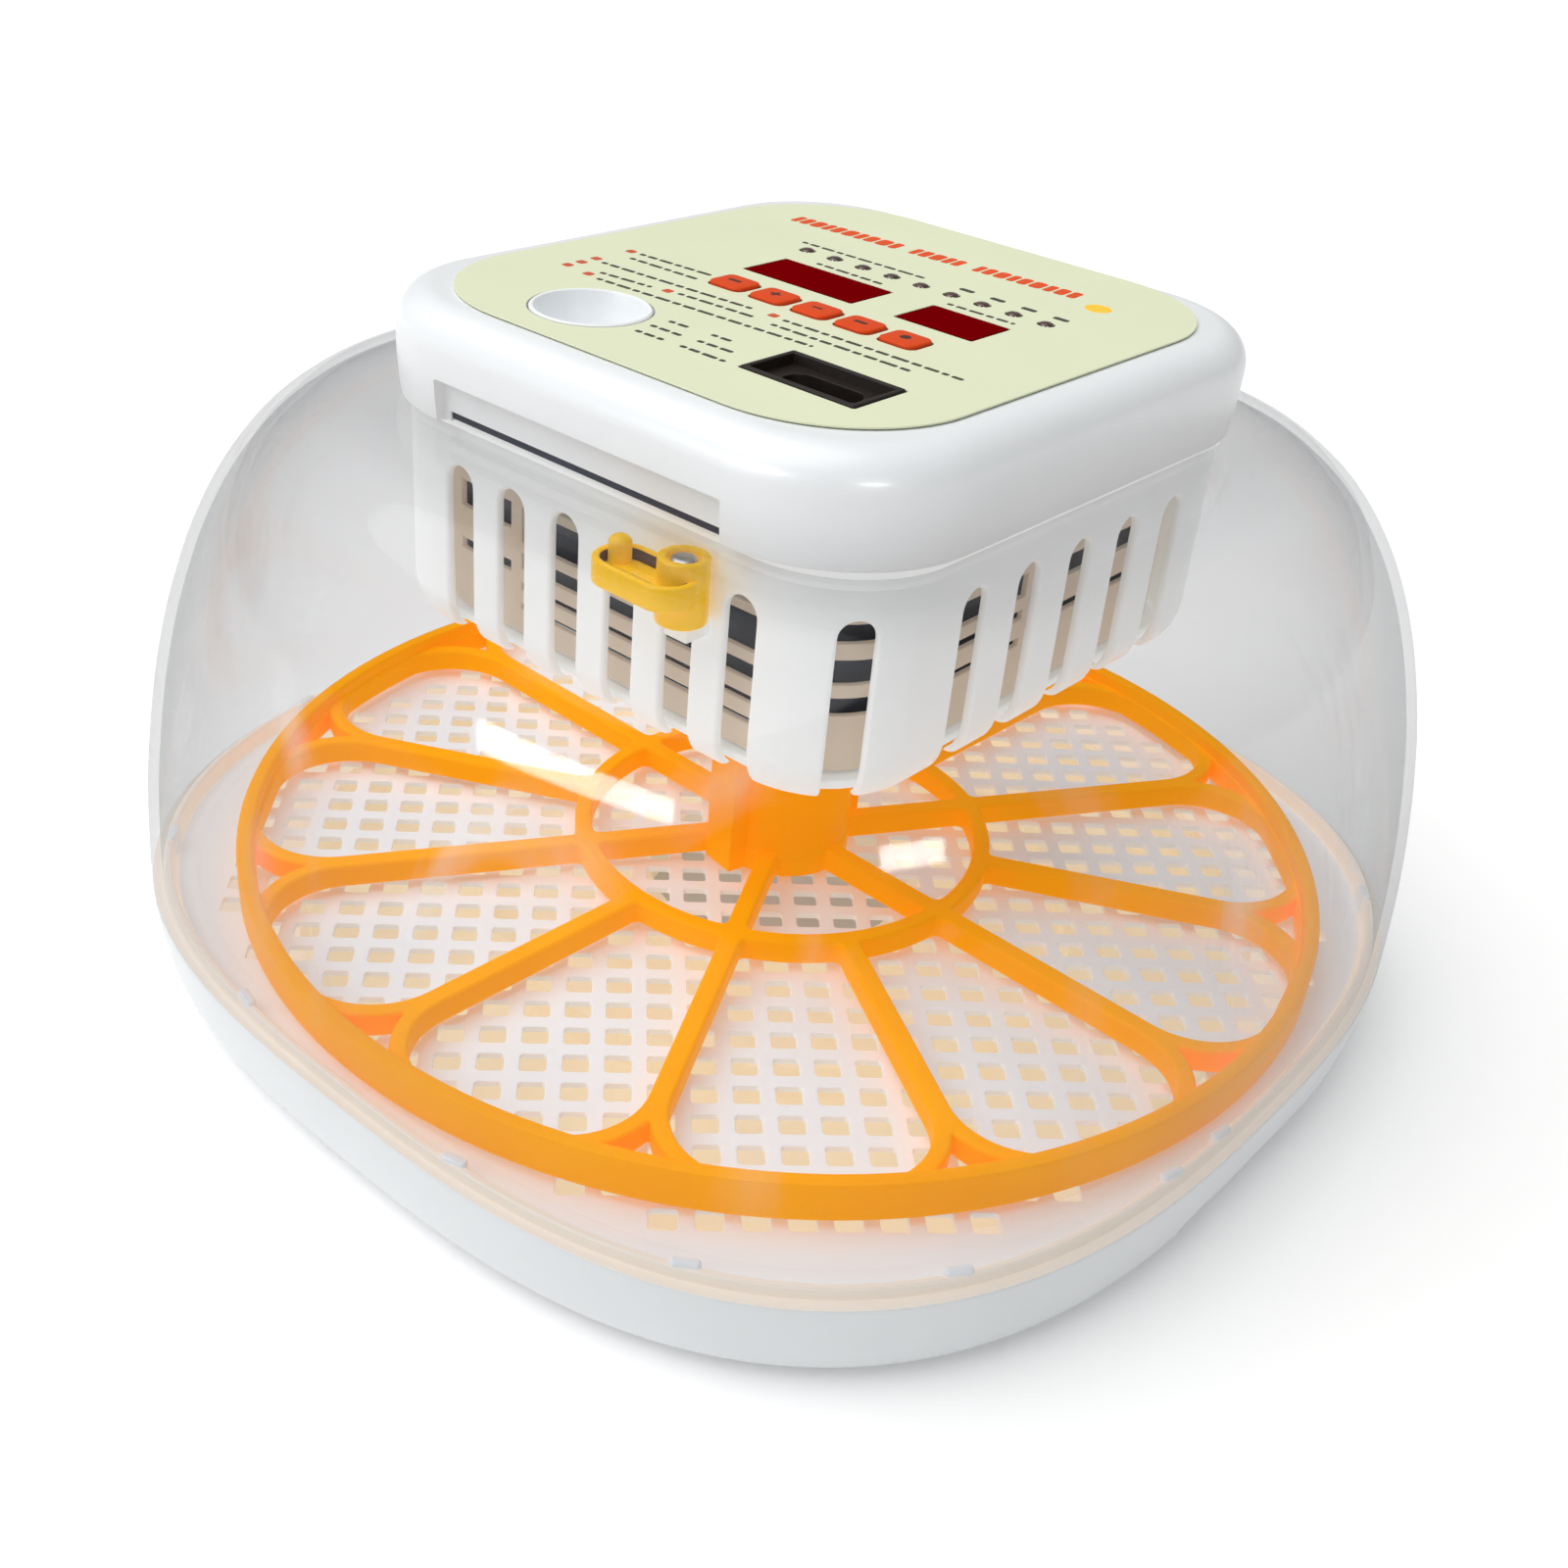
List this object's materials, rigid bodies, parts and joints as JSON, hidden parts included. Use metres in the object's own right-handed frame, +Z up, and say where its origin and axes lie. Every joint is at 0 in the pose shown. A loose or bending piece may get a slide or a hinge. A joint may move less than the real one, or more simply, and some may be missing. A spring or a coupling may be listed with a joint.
{
  "type": "egg incubator",
  "caption": "Small tabletop egg incubator: shallow tub, perforated egg grate, rotating flower-shaped egg turner, clear dome and a hanging control unit with a vent lever.",
  "frame": {"origin": "middle of the footprint, at the underside of the feet", "axes": "+Z up, -Y towards the side the control panel is read from, +X to the reader's right"},
  "size_m": [0.2528, 0.2528, 0.1502],
  "materials": {
    "white_plastic": "smooth white moulding",
    "tray_plastic": "off-white",
    "grate_plastic": "satin white",
    "orange_plastic": "glossy orange",
    "clear_plastic": "clear, lightly scuffed",
    "yellow_plastic": "glossy yellow",
    "label_green": "pale green film",
    "red_lens": "dark red window",
    "button_red": "orange-red keys",
    "led_lens": "unlit dark lens",
    "black_plastic": "black",
    "pin_metal": "plated",
    "steel": "plain",
    "board_green": "coated board",
    "heater_metal": "plain",
    "motor_black": "black",
    "rubber": "matte"
  },
  "bodies": {
    "base": {"base_tub": "white_plastic", "water_tray": "tray_plastic", "egg_grate": "grate_plastic", "foot_1": "rubber", "foot_2": "rubber", "foot_3": "rubber", "foot_4": "rubber"},
    "turner": {"egg_turner": "orange_plastic"},
    "drive": {"drive_shaft": "white_plastic"},
    "fan": {"fan_rotor": "motor_black"},
    "vent": {"vent_lever": "yellow_plastic", "vent_lever_screw": "steel"},
    "key_1": {"button_1": "button_red"},
    "key_2": {"button_2": "button_red"},
    "key_3": {"button_3": "button_red"},
    "key_4": {"button_4": "button_red"},
    "key_5": {"button_5": "button_red"},
    "cover": {"vent_cage": "white_plastic", "lid_shell": "white_plastic", "water_filler": "white_plastic", "vent_lever_bracket": "white_plastic", "fan_guard": "white_plastic", "cage_liner": "grate_plastic", "clear_dome": "clear_plastic", "panel_label": "label_green", "display_window_2": "red_lens", "display_window_3": "red_lens", "led_lens_1": "led_lens", "led_lens_2": "led_lens", "led_lens_3": "led_lens", "led_lens_4": "led_lens", "led_lens_5": "led_lens", "led_lens_6": "led_lens", "led_lens_7": "led_lens", "led_lens_8": "led_lens", "led_lens_9": "led_lens", "mains_inlet": "black_plastic", "display_module_2": "black_plastic", "display_module_3": "black_plastic", "inlet_pin_left": "pin_metal", "inlet_pin_right": "pin_metal", "climate_probe": "pin_metal", "turning_motor": "steel", "cage_screw_1": "steel", "cage_screw_2": "steel", "cage_screw_3": "steel", "cage_screw_4": "steel", "display_board": "board_green", "power_board": "board_green", "heater_ring": "heater_metal", "fan_frame": "motor_black", "transformer": "motor_black"}
  },
  "joints": [
    {"name": "cover_lift", "type": "slide", "parent": "base", "child": "cover", "axis": [0, 0, 1], "range_m": [0, 0.2]},
    {"name": "turner_spin", "type": "hinge", "parent": "base", "child": "turner", "pos_m": [0, 0, 0.028], "axis": [0, 0, 1], "continuous": true},
    {"name": "drive_spin", "type": "hinge", "parent": "cover", "child": "drive", "pos_m": [0, 0, 0.063], "axis": [0, 0, 1], "continuous": true},
    {"name": "fan_spin", "type": "hinge", "parent": "cover", "child": "fan", "pos_m": [0, 0, 0.1135], "axis": [0, 0, 1], "continuous": true},
    {"name": "vent_swing", "type": "hinge", "parent": "cover", "child": "vent", "pos_m": [0.029, -0.0704, 0.113], "axis": [0, 0, 1], "range_deg": [0, 70]},
    {"name": "key_1_press", "type": "slide", "parent": "cover", "child": "key_1", "axis": [0, 0, -1], "range_m": [0, 0.0006], "stiffness_N_per_m": 400, "springref_m": -0.0006},
    {"name": "key_2_press", "type": "slide", "parent": "cover", "child": "key_2", "axis": [0, 0, -1], "range_m": [0, 0.0006], "stiffness_N_per_m": 400, "springref_m": -0.0006},
    {"name": "key_3_press", "type": "slide", "parent": "cover", "child": "key_3", "axis": [0, 0, -1], "range_m": [0, 0.0006], "stiffness_N_per_m": 400, "springref_m": -0.0006},
    {"name": "key_4_press", "type": "slide", "parent": "cover", "child": "key_4", "axis": [0, 0, -1], "range_m": [0, 0.0006], "stiffness_N_per_m": 400, "springref_m": -0.0006},
    {"name": "key_5_press", "type": "slide", "parent": "cover", "child": "key_5", "axis": [0, 0, -1], "range_m": [0, 0.0006], "stiffness_N_per_m": 400, "springref_m": -0.0006}
  ],
  "couplings": [
    {"joint": "drive_spin", "follows": "turner_spin", "ratio": 1}
  ]
}
